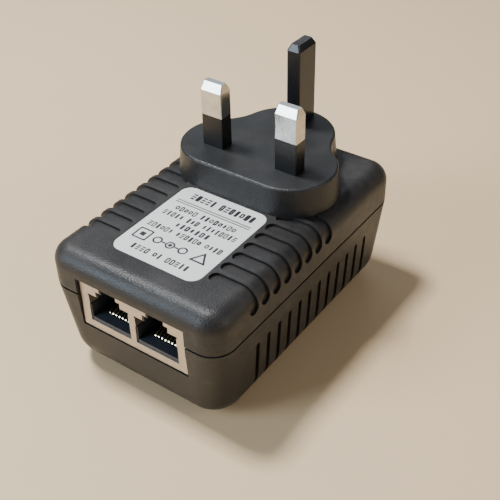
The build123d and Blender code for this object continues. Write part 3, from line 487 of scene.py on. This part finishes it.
def add_prism(geometry, outline, low, high):
    """An upright prism over a closed outline of (x, y) points."""
    lower = [geometry.verts.new((x, y, low)) for x, y in outline]
    upper = [geometry.verts.new((x, y, high)) for x, y in outline]
    geometry.faces.new(list(reversed(lower)))
    geometry.faces.new(upper)
    count = len(outline)
    for number in range(count):
        after = (number + 1) % count
        geometry.faces.new((lower[number], lower[after], upper[after], upper[number]))


def add_band(geometry, inner, outer, low, high):
    """An upright closed band between two outlines of equally many points."""
    count = len(inner)
    rings = []
    for outline, z in ((inner, low), (outer, low), (outer, high), (inner, high)):
        rings.append([geometry.verts.new((x, y, z)) for x, y in outline])
    for first in range(4):
        one = rings[first]
        two = rings[(first + 1) % 4]
        for number in range(count):
            after = (number + 1) % count
            geometry.faces.new((one[number], one[after], two[after], two[number]))


SLIVER = 0.001 * MM             # shortest straight stretch between two round corners


def rounded_outline(x, y, width, height, corner, steps=4):
    """The corner-rounded outline of a rectangle about a middle."""
    points = []
    corner = min(corner, width / 2 - SLIVER, height / 2 - SLIVER)
    for quarter, (side_x, side_y) in enumerate(((1, 1), (-1, 1), (-1, -1), (1, -1))):
        middle_x = x + side_x * (width / 2 - corner)
        middle_y = y + side_y * (height / 2 - corner)
        for step in range(steps + 1):
            angle = math.radians(90) * (quarter + step / steps)
            points.append((middle_x + corner * math.cos(angle), middle_y + corner * math.sin(angle)))
    return points


def regular_outline(x, y, radius, count, turn=0.0):
    """A regular outline of so many corners."""
    points = []
    for number in range(count):
        angle = turn + 2 * math.pi * number / count
        points.append((x + radius * math.cos(angle), y + radius * math.sin(angle)))
    return points


def add_tube(geometry, path, radius, sides=8, closed=True):
    """A round tube along a flat path of points, closed in a ring or capped at both ends."""
    upright = Vector((0.0, 0.0, 1.0))
    rings = []
    count = len(path)
    for number, point in enumerate(path):
        before = path[number - 1] if closed or number else point
        after = path[(number + 1) % count] if closed or number + 1 < count else point
        along = (after - before).normalized()
        side = along.orthogonal() if abs(along.z) > 0.99 else along.cross(upright).normalized()
        other = along.cross(side).normalized()
        ring = []
        for step in range(sides):
            angle = 2 * math.pi * step / sides
            outwards = side * math.cos(angle) + other * math.sin(angle)
            ring.append(geometry.verts.new(point + radius * outwards))
        rings.append(ring)
    for number in range(count if closed else count - 1):
        one = rings[number]
        two = rings[(number + 1) % count]
        for step in range(sides):
            after = (step + 1) % sides
            geometry.faces.new((one[step], one[after], two[after], two[step]))
    if not closed:
        geometry.faces.new(list(reversed(rings[0])))
        geometry.faces.new(rings[-1])


def shade_smooth(mesh):
    """Smooth shading on every face."""
    mesh.polygons.foreach_set("use_smooth", [True] * len(mesh.polygons))


def group_input(group, name, kind, value):
    """A named input on a geometry group. Gives its identifier."""
    socket = group.interface.new_socket(name=name, in_out="INPUT", socket_type=kind)
    socket.default_value = value
    return socket.identifier


def make_wound_group(material):
    """Repeats one turn of wire round an axis along Y, and moves the coil to its place."""
    group = bpy.data.node_groups.new("wound_turns", "GeometryNodeTree")
    group.interface.new_socket(name="Geometry", in_out="INPUT", socket_type="NodeSocketGeometry")
    group.interface.new_socket(name="Geometry", in_out="OUTPUT", socket_type="NodeSocketGeometry")
    names = {
        "turns": group_input(group, "Turns", "NodeSocketInt", 8),
        "first": group_input(group, "First Angle", "NodeSocketFloat", 0.0),
        "step": group_input(group, "Angle Step", "NodeSocketFloat", 0.2),
        "rise": group_input(group, "Rise", "NodeSocketFloat", 0.0),
        "uneven": group_input(group, "Unevenness", "NodeSocketFloat", 0.01),
        "seed": group_input(group, "Seed", "NodeSocketInt", 3),
        "place": group_input(group, "Place", "NodeSocketVector", (0.0, 0.0, 0.0)),
    }
    inside = group.nodes.new("NodeGroupInput")
    outside = group.nodes.new("NodeGroupOutput")
    points = group.nodes.new("GeometryNodePoints")
    group.links.new(inside.outputs["Turns"], points.inputs["Count"])
    index = group.nodes.new("GeometryNodeInputIndex").outputs["Index"]
    random_value = group.nodes.new("FunctionNodeRandomValue")
    random_value.data_type = "FLOAT"
    low, high = [socket for socket in random_value.inputs if socket.type == "VALUE"][:2]
    low.default_value = -1.0
    high.default_value = 1.0
    group.links.new(inside.outputs["Seed"], random_value.inputs["Seed"])
    wobble = [socket for socket in random_value.outputs if socket.type == "VALUE"][0]
    angle = math_node(group, "MULTIPLY", index, inside.outputs["Angle Step"])
    angle = math_node(group, "ADD", angle, inside.outputs["First Angle"])
    stray = math_node(group, "MULTIPLY", wobble, inside.outputs["Unevenness"])
    angle = math_node(group, "ADD", angle, stray)
    turn = group.nodes.new("ShaderNodeCombineXYZ")
    group.links.new(angle, turn.inputs["Y"])
    lift = group.nodes.new("ShaderNodeCombineXYZ")
    group.links.new(math_node(group, "MULTIPLY", index, inside.outputs["Rise"]), lift.inputs["Z"])
    lifted = group.nodes.new("GeometryNodeSetPosition")
    group.links.new(points.outputs["Points"], lifted.inputs["Geometry"])
    group.links.new(lift.outputs["Vector"], lifted.inputs["Offset"])
    copies = group.nodes.new("GeometryNodeInstanceOnPoints")
    group.links.new(lifted.outputs["Geometry"], copies.inputs["Points"])
    group.links.new(inside.outputs["Geometry"], copies.inputs["Instance"])
    group.links.new(turn.outputs["Vector"], copies.inputs["Rotation"])
    moved = group.nodes.new("GeometryNodeTransform")
    group.links.new(copies.outputs["Instances"], moved.inputs["Geometry"])
    group.links.new(inside.outputs["Place"], moved.inputs["Translation"])
    real = group.nodes.new("GeometryNodeRealizeInstances")
    group.links.new(moved.outputs["Geometry"], real.inputs["Geometry"])
    finish = group.nodes.new("GeometryNodeSetMaterial")
    finish.inputs["Material"].default_value = material
    group.links.new(real.outputs["Geometry"], finish.inputs["Geometry"])
    group.links.new(finish.outputs["Geometry"], outside.inputs["Geometry"])
    return group, names


def wind_wire(group, names, turn_path, radius, closed, values):
    """Runs the winding group on one turn of wire and gives the finished mesh."""
    geometry = bmesh.new()
    add_tube(geometry, turn_path, radius, closed=closed)
    mesh = bpy.data.meshes.new("one_turn")
    geometry.to_mesh(mesh)
    geometry.free()
    holder = add_object("one_turn", mesh)
    modifier = holder.modifiers.new("winding", "NODES")
    modifier.node_group = group
    for name, value in values.items():
        modifier[names[name]] = value
    holder.update_tag()
    bpy.context.view_layer.update()
    done = holder.evaluated_get(bpy.context.evaluated_depsgraph_get())
    wound = bpy.data.meshes.new_from_object(done)
    bpy.data.objects.remove(holder)
    bpy.data.meshes.remove(mesh)
    return wound


# ---------------------------------------------------------------- operators

class FinishOperator(bpy.types.Operator):
    """What all the finishing operators share."""

    bl_options = {"REGISTER"}


# Each light's place and size in metres, and its tint
LIGHTS = {
    "key": ((-0.25, -0.02, 0.63), (0.12, 0.12), (0.94, 0.96, 1.0)),
    "fill": ((-0.40, -0.62, 0.36), (0.30, 0.46), (0.72, 0.86, 1.0)),
    "back": ((-0.33, 0.44, 0.44), (0.5, 0.3), (0.84, 0.92, 1.0)),
    "side": ((0.60, 0.10, 0.30), (0.4, 0.3), (1.0, 0.96, 0.90)),
}
LIGHT_AIM_HEIGHT = 0.02
FLOOR_REACH = 3.0
FLOOR_GAP = 0.00002             # floor below the case's back, so that the two never share a plane
SKY_TINT = (0.92, 0.95, 1.0)


class INJECTOR_OT_stage(FinishOperator):
    """Sets out the pale floor, the soft lights and the camera"""

    bl_idname = "injector.stage"
    bl_label = "Stage"

    def execute(self, context):
        settings = context.scene.injector_stage
        self.make_floor(settings)
        self.make_sky(context, settings)
        low, high = CAD_BOX
        middle = Vector(((low[0] + high[0]) / 2, (low[1] + high[1]) / 2, LIGHT_AIM_HEIGHT))
        for name, (place, size, tint) in LIGHTS.items():
            self.make_light(name + "_light", place, middle, size, getattr(settings, name + "_power"), tint)
        self.make_camera(context, settings)
        return {"FINISHED"}

    def make_floor(self, settings):
        """A wide pale sheet that the injector lies on."""
        material, tree, shader = start_material("pale_floor")
        place = object_coordinates(tree)
        slow = noise_node(tree, place, 5.0, 3.0)
        tone = mix_colours(tree, remap(tree, slow, 0.3, 0.7),
                           scaled(settings.floor_colour, 0.985), scaled(settings.floor_colour, 1.015))
        tree.links.new(tone, shader.inputs["Base Color"])
        shader.inputs["Roughness"].default_value = 0.6
        mesh = bpy.data.meshes.new("floor")
        geometry = bmesh.new()
        sides = ((-1, -1), (1, -1), (1, 1), (-1, 1))
        geometry.faces.new([geometry.verts.new((x * FLOOR_REACH, y * FLOOR_REACH, 0.0)) for x, y in sides])
        geometry.to_mesh(mesh)
        geometry.free()
        mesh.materials.append(material)
        floor = add_object("floor", mesh)
        floor.location.z = -FLOOR_GAP

    def make_sky(self, context, settings):
        """An even pale surround."""
        world = bpy.data.worlds.new("soft_surround")
        world.use_nodes = True
        background = world.node_tree.nodes["Background"]
        background.inputs["Color"].default_value = (*SKY_TINT, 1.0)
        background.inputs["Strength"].default_value = settings.sky_strength
        context.scene.world = world

    def make_light(self, name, place, target, size, power, tint):
        """A soft rectangular light that looks at the object."""
        data = bpy.data.lights.new(name, "AREA")
        data.shape = "RECTANGLE"
        data.size, data.size_y = size
        data.energy = power
        data.color = tint
        light = add_object(name, data)
        light.location = place
        light.rotation_euler = (target - Vector(place)).to_track_quat("-Z", "Y").to_euler()

    def make_camera(self, context, settings):
        """The camera, placed by azimuth, elevation and roll."""
        data = bpy.data.cameras.new("camera")
        data.lens = settings.lens
        data.sensor_width = 36.0
        data.clip_start = 0.01
        camera = add_object("camera", data)
        ahead = Vector((-math.sin(settings.azimuth) * math.cos(settings.elevation),
                        math.cos(settings.azimuth) * math.cos(settings.elevation),
                        -math.sin(settings.elevation)))
        right = ahead.cross(Vector((0, 0, 1))).normalized()
        upward = right.cross(ahead)
        turned_right = right * math.cos(settings.roll) - upward * math.sin(settings.roll)
        turned_up = right * math.sin(settings.roll) + upward * math.cos(settings.roll)
        turn = Matrix((turned_right, turned_up, -ahead)).transposed().to_4x4()
        camera.matrix_world = Matrix.Translation(settings.camera_place) @ turn
        context.scene.camera = camera


class INJECTOR_OT_case(FinishOperator):
    """Finishes the covers, the plug moulding and the plastic earth pin"""

    bl_idname = "injector.case"
    bl_label = "Case"

    def execute(self, context):
        settings = context.scene.injector_case
        case = moulded_plastic("case_moulding", settings.case_colour, settings.case_roughness,
                               settings.grain_size, settings.grain_depth, settings.dust_amount)
        plug = moulded_plastic("plug_moulding", settings.plug_colour, settings.plug_roughness,
                               settings.grain_size, settings.grain_depth, settings.dust_amount)
        earth = moulded_plastic("earth_pin_moulding", settings.earth_colour, settings.earth_roughness,
                                settings.grain_size, settings.grain_depth * 0.5, 0.05, 0.5)
        put_on(case, "upper_cover", "lower_cover")
        put_on(plug, "plug_base")
        put_on(earth, "earth_pin")
        return {"FINISHED"}


class INJECTOR_OT_pins(FinishOperator):
    """Finishes the live and neutral pins and their sleeves"""

    bl_idname = "injector.pins"
    bl_label = "Pins"

    def execute(self, context):
        metal = context.scene.injector_metal
        nickel = plated_metal("pin_nickel", metal.pin_colour, metal.pin_roughness, 0.00016, 0.25)
        sleeve = dipped_finish("pin_sleeve", (0.006, 0.0055, 0.0055), 0.30, 0.002, 0.10)
        put_on(nickel, "live_pin", "neutral_pin")
        put_on(sleeve, "live_pin_sleeve", "neutral_pin_sleeve")
        return {"FINISHED"}


class INJECTOR_OT_jack(FinishOperator):
    """Finishes the double network jack and its contacts"""

    bl_idname = "injector.jack"
    bl_label = "Network jack"

    def execute(self, context):
        metal = context.scene.injector_metal
        shield = plated_metal("shield_nickel", metal.shield_colour, metal.shield_roughness,
                              0.0003, 0.12, blotch=0.05)
        housing = dipped_finish("jack_moulding", (0.040, 0.047, 0.058), 0.34, 0.0015, 0.08)
        gold = plated_metal("contact_gold", metal.contact_colour, 0.18, 0.0001, 0.08)
        put_on(shield, "jack_shield")
        put_on(housing, "jack_housing")
        put_on(gold, "left_port_contacts", "right_port_contacts", "left_contact_legs", "right_contact_legs")
        return {"FINISHED"}


# Each printed line: how far down the label, its reach across it, the marks in each word, and
# whether it is the title
PRINTED_LINES = (
    (0.110, (0.10, 0.96), (5, 7), True),
    (0.305, (0.08, 0.90), (5, 8), False),
    (0.402, (0.01, 1.00), (5, 3, 8), False),
    (0.495, (0.28, 0.74), (7,), False),
    (0.590, (0.01, 1.00), (6, 6, 4), False),
    (0.890, (0.12, 0.88), (4, 2, 5), False),
)
PRINTED_RULES = (0.205, 0.232)
SYMBOL_ROW = 0.735
WORD_GAP = 0.8                  # space between words, in marks
BLOCK_SHARE = 0.40
RING_SHARE = 0.38
SQUARE_SIZE = 4.2 * MM
RING_RADIUS = 1.3 * MM
RING_STEP = 3.8 * MM
CORNERED_RADIUS = 2.7 * MM
CORNERED_LINE = 1.05 * MM
CORNERED_DROP = 0.3 * MM


class INJECTOR_OT_label(FinishOperator):
    """Finishes the label and prints its plain marks, with no lettering"""

    bl_idname = "injector.label"
    bl_label = "Rating label"

    def execute(self, context):
        settings = context.scene.injector_label
        put_on(label_paper(settings), "rating_label")
        ink = dipped_finish("label_ink", settings.ink_colour, 0.42, 0.0004, 0.05)
        low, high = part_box("rating_label")
        self.low = high.z
        self.high = high.z + settings.ink_thickness
        self.left = low.x + settings.side_margin
        self.width = high.x - low.x - 2 * settings.side_margin
        self.dice = random.Random(settings.seed)
        span = high.y - low.y
        geometry = bmesh.new()
        for part, reach, word_lengths, is_title in PRINTED_LINES:
            height = settings.title_height if is_title else settings.text_height
            weight = settings.title_weight if is_title else settings.text_weight
            self.words(geometry, high.y - span * part, height, reach, word_lengths, weight)
        for part in PRINTED_RULES:
            self.rule(geometry, high.y - span * part, settings.rule_thickness)
        self.symbols(geometry, high.y - span * SYMBOL_ROW, settings.symbol_line)
        piece_from("label_print", geometry, ink, CASE_BODY)
        return {"FINISHED"}

    def block(self, geometry, x, y, width, height, corner):
        """A solid block of ink about a middle."""
        add_prism(geometry, rounded_outline(x, y, width, height, corner, 2), self.low, self.high)

    def rule(self, geometry, y, thickness):
        """A thin line right across the label."""
        self.block(geometry, self.left + self.width / 2, y, self.width, thickness, thickness / 2)

    def words(self, geometry, y, height, reach, word_lengths, weight):
        """A line of words, each a row of plain marks of uneven width and height."""
        start = self.left + self.width * reach[0]
        end = self.left + self.width * reach[1]
        pitch = (end - start) / (sum(word_lengths) + WORD_GAP * (len(word_lengths) - 1))
        x = start
        for marks_in_word in word_lengths:
            for _ in range(marks_in_word):
                stroke = pitch * weight * self.dice.uniform(0.8, 1.1)
                tall = height * self.dice.choice((0.72, 1.0, 1.0))
                self.mark(geometry, x + pitch / 2, y, stroke, tall, pitch, height)
                x += pitch
            x += WORD_GAP * pitch

    def mark(self, geometry, x, y, stroke, tall, pitch, height):
        """One plain mark: a block, a small ring or three short bars, and never a letter."""
        kind = self.dice.random()
        wide = pitch * 0.78
        if kind < BLOCK_SHARE:
            self.block(geometry, x, y, stroke, tall, stroke * 0.3)
        elif kind < BLOCK_SHARE + RING_SHARE:
            line = stroke * 0.62
            outer = rounded_outline(x, y, wide, tall, wide * 0.35, 3)
            inner = rounded_outline(x, y, wide - 2 * line, tall - 2 * line, wide * 0.14, 3)
            add_band(geometry, inner, outer, self.low, self.high)
        else:
            for side in (-1, 0, 1):
                self.block(geometry, x, y + side * height * 0.34, wide, height * 0.20, height * 0.06)

    def symbols(self, geometry, y, line):
        """Plain shapes: a ringed square, three linked rings and a three-cornered outline."""
        x = self.left + self.width * 0.10
        inside = SQUARE_SIZE - 2 * line
        add_band(geometry, rounded_outline(x, y, inside, inside, 0.2 * MM, 2),
                 rounded_outline(x, y, SQUARE_SIZE, SQUARE_SIZE, 0.3 * MM, 2), self.low, self.high)
        self.block(geometry, x, y, SQUARE_SIZE * 0.34, SQUARE_SIZE * 0.34, 0.1 * MM)
        middle = self.left + self.width * 0.47
        for number in (-1, 0, 1):
            centre = middle + number * RING_STEP
            add_band(geometry, regular_outline(centre, y, RING_RADIUS - line, 24),
                     regular_outline(centre, y, RING_RADIUS, 24), self.low, self.high)
            if number < 1:
                gap = RING_STEP - 2 * RING_RADIUS
                self.block(geometry, centre + RING_STEP / 2, y, gap, line, line / 2)
        add_prism(geometry, regular_outline(middle, y, RING_RADIUS * 0.42, 16), self.low, self.high)
        x = self.left + self.width * 0.87
        y -= CORNERED_DROP
        upright = math.radians(90)
        add_band(geometry, regular_outline(x, y, CORNERED_RADIUS - CORNERED_LINE, 3, upright),
                 regular_outline(x, y, CORNERED_RADIUS, 3, upright), self.low, self.high)


class INJECTOR_OT_board(FinishOperator):
    """Finishes the board and everything on it"""

    bl_idname = "injector.board"
    bl_label = "Board and parts"

    def execute(self, context):
        finishes = {
            "board_resist": ((0.020, 0.115, 0.045), 0.30, 0.0, ("main_board",)),
            "ferrite_grey": ((0.030, 0.030, 0.032), 0.42, 0.0,
                             ("transformer_core", "output_inductor_core", "mains_choke_core")),
            "bobbin_moulding": ((0.016, 0.016, 0.016), 0.45, 0.0, ("transformer_bobbin",)),
            "winding_tape": ((0.74, 0.50, 0.06), 0.30, 0.0, ("transformer_winding",)),
            "epoxy_black": ((0.018, 0.018, 0.020), 0.48, 0.0,
                            ("bridge_rectifier", "optocoupler", "output_diode", "controller_chip",
                             "switching_transistor", "chip_resistors")),
            "can_aluminium": ((0.80, 0.80, 0.81), 0.25, 1.0, ("bulk_capacitor", "output_capacitors")),
            "can_sleeve": ((0.018, 0.030, 0.105), 0.24, 0.0, ("bulk_capacitor_sleeve",)),
            "sink_aluminium": ((0.74, 0.75, 0.76), 0.36, 1.0, ("heat_sink",)),
            "dipped_blue": ((0.030, 0.130, 0.420), 0.26, 0.0, ("y_capacitor", "varistor")),
            "box_yellow": ((0.80, 0.55, 0.08), 0.34, 0.0, ("x_capacitor",)),
            "fuse_ceramic": ((0.80, 0.78, 0.72), 0.30, 0.0, ("line_fuse",)),
            "plated_steel": ((0.72, 0.72, 0.70), 0.26, 1.0, ("fuse_caps", "transistor_screw")),
            "solder": ((0.78, 0.78, 0.79), 0.22, 1.0, ("solder_joints",)),
            "brown_wire": ((0.115, 0.045, 0.020), 0.36, 0.0, ("live_lead",)),
            "blue_wire": ((0.020, 0.080, 0.300), 0.36, 0.0, ("neutral_lead",)),
            "insulating_board": ((0.42, 0.33, 0.22), 0.62, 0.0, ("barrier_sheet",)),
        }
        for name, (tint, roughness, metal, nodes) in finishes.items():
            put_on(dipped_finish(name, tint, roughness, metal=metal), *nodes)
        return {"FINISHED"}


LEAD_STANDOFF = 0.9 * MM        # leads past the board's upper face
TURN_SPACING = 1.03             # pitch of the choke's turns at its bore, in wires


class INJECTOR_OT_windings(FinishOperator):
    """Winds the wire of the mains choke and of the output inductor, turn by turn"""

    bl_idname = "injector.windings"
    bl_label = "Windings"

    def execute(self, context):
        settings = context.scene.injector_winding
        copper = dipped_finish("copper_wire", settings.wire_colour, 0.25, metal=1.0)
        put_on(copper, "output_inductor_winding", "mains_choke_windings")
        group, names = make_wound_group(copper)
        self.choke(settings, copper, group, names)
        self.inductor(settings, copper, group, names)
        return {"FINISHED"}

    def choke(self, settings, copper, group, names):
        """Two windings on opposite sides of the choke's ring, with their leads."""
        low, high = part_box("mains_choke_core")
        centre = (low + high) / 2
        outer = (high.x - low.x) / 2
        bore = settings.choke_bore / 2
        half = (high.y - low.y) / 2
        wire = settings.choke_wire / 2
        middle = (outer + bore) / 2
        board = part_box("main_board")[1].z
        path = []
        for x, y in rounded_outline(middle, 0.0, outer - bore + 2 * wire, 2 * (half + wire), wire * 1.5, 4):
            path.append(Vector((x, y, 0.0)))
        step = 2 * wire / (bore - wire) * TURN_SPACING
        turns = int(settings.choke_sweep / step)
        geometry = bmesh.new()
        for side in (0, 1):
            first = math.pi * side - step * (turns - 1) / 2
            values = {"turns": turns, "first": first, "step": step, "rise": 0.0,
                      "uneven": 0.012, "seed": 3 + side, "place": centre}
            wound = wind_wire(group, names, path, wire, True, values)
            geometry.from_mesh(wound)
            bpy.data.meshes.remove(wound)
            x = centre.x + (1 - 2 * side) * middle
            for end in (-1, 1):
                y = centre.y + end * (half + wire)
                end_z = board + LEAD_STANDOFF
                heights = (centre.z, (centre.z + board) / 2, end_z)
                reach = [Vector((x, y, z)) for z in heights]
                add_tube(geometry, reach, settings.lead_wire / 2, closed=False)
        piece = piece_from("choke_wire", geometry, copper, CASE_BODY)
        shade_smooth(piece.data)
        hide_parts("mains_choke_windings")

    def inductor(self, settings, copper, group, names):
        """Turns of wire stacked between the drum's flanges."""
        low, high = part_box("output_inductor_winding")
        centre = (low + high) / 2
        wire = settings.inductor_wire / 2
        radius = (high.x - low.x) / 2 - wire
        path = [Vector((x, y, 0.0)) for x, y in regular_outline(0.0, 0.0, radius, 40)]
        turns = int((high.z - low.z) / (2 * wire))
        rise = (high.z - low.z - 2 * wire) / (turns - 1)
        values = {"turns": turns, "first": 0.0, "step": 0.0, "rise": rise, "uneven": 0.006,
                  "seed": 7, "place": Vector((centre.x, centre.y, low.z + wire))}
        geometry = bmesh.new()
        wound = wind_wire(group, names, path, wire, True, values)
        geometry.from_mesh(wound)
        bpy.data.meshes.remove(wound)
        piece = piece_from("inductor_wire", geometry, copper, CASE_BODY)
        shade_smooth(piece.data)
        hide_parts("output_inductor_winding")


class INJECTOR_PT_panel(bpy.types.Panel):
    """Lists the injector's settings and steps"""

    bl_label = "Power injector"
    bl_idname = "INJECTOR_PT_panel"
    bl_space_type = "VIEW_3D"
    bl_region_type = "UI"
    bl_category = "Injector"

    def draw(self, context):
        for name, group in SETTINGS.items():
            box = self.layout.box()
            settings = getattr(context.scene, name)
            for prop in group.__annotations__:
                box.prop(settings, prop)
        for step in STEPS:
            self.layout.operator(step.bl_idname)


STEPS = (
    INJECTOR_OT_stage,
    INJECTOR_OT_case,
    INJECTOR_OT_pins,
    INJECTOR_OT_jack,
    INJECTOR_OT_label,
    INJECTOR_OT_board,
    INJECTOR_OT_windings,
)


def register():
    """Registers the settings, the steps and the panel."""
    for name, group in SETTINGS.items():
        bpy.utils.register_class(group)
        setattr(bpy.types.Scene, name, PointerProperty(type=group))
    for step in STEPS:
        bpy.utils.register_class(step)
    bpy.utils.register_class(INJECTOR_PT_panel)


def unregister():
    """Takes them all out again."""
    bpy.utils.unregister_class(INJECTOR_PT_panel)
    for step in reversed(STEPS):
        bpy.utils.unregister_class(step)
    for name, group in reversed(SETTINGS.items()):
        delattr(bpy.types.Scene, name)
        bpy.utils.unregister_class(group)


def main():
    """Registers the add-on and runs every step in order."""
    register()
    for step in STEPS:
        family, name = step.bl_idname.split(".")
        getattr(getattr(bpy.ops, family), name)()


if __name__ == "__main__":
    main()
